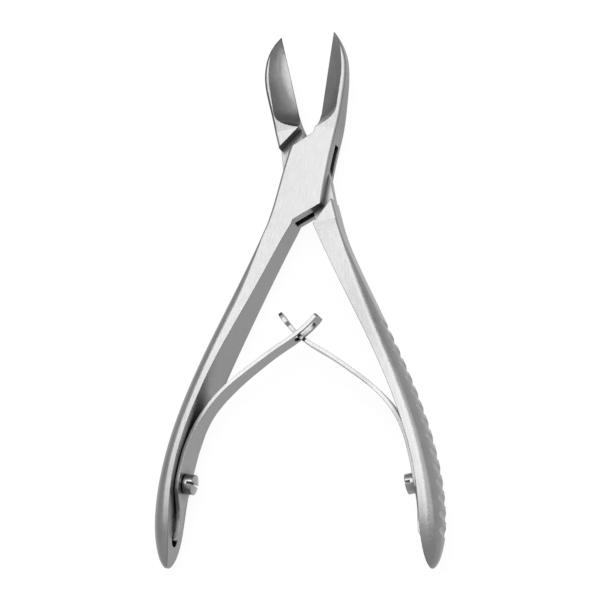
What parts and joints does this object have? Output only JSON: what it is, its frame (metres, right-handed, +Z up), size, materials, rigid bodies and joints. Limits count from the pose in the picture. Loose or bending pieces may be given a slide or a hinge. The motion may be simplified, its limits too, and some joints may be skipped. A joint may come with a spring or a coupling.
{
  "type": "bone cutting forceps",
  "caption": "Surgical bone cutting forceps: box-jointed steel levers with straight hollow-ground cutting jaws and grooved handles, held open by crossed leaf springs.",
  "frame": {"origin": "centre of the bounding box at the lowest face, instrument lying flat and sprung open", "axes": "+X to the right jaw, +Y towards the jaw tips, +Z up out of the front face, along the pivot axis"},
  "size_m": [0.0718, 0.1372, 0.0139],
  "materials": {
    "lever_steel": "satin",
    "pin_steel": "satin",
    "spring_steel": "satin",
    "screw_steel": "polished"
  },
  "bodies": {
    "box_side": {"box_lever": "lever_steel", "pivot_pin": "pin_steel", "box_side_screw": "screw_steel"},
    "tongue_side": {"tongue_lever": "lever_steel", "tongue_side_screw": "screw_steel"},
    "box_side_leaf": {"slotted_spring": "spring_steel"},
    "tongue_side_leaf": {"pronged_spring": "spring_steel"}
  },
  "joints": [
    {"name": "jaw_pivot", "type": "hinge", "parent": "box_side", "child": "tongue_side", "pos_m": [-0.00016, 0.03095, 0.00697], "axis": [0, 0, -1], "range_deg": [0, 20.8], "stiffness_Nm_per_rad": 3},
    {"name": "box_side_flex", "type": "hinge", "parent": "box_side", "child": "box_side_leaf", "pos_m": [-0.02735, -0.03635, 0.00697], "axis": [0, 0, 1], "range_deg": [0, 13], "deforming": ["slotted_spring"]},
    {"name": "tongue_side_flex", "type": "hinge", "parent": "tongue_side", "child": "tongue_side_leaf", "pos_m": [0.02735, -0.03812, 0.00697], "axis": [0, 0, -1], "range_deg": [0, 13], "deforming": ["pronged_spring"]}
  ],
  "couplings": [
    {"joint": "box_side_flex", "follows": "jaw_pivot", "ratio": 0.614},
    {"joint": "tongue_side_flex", "follows": "jaw_pivot", "ratio": 0.614}
  ]
}
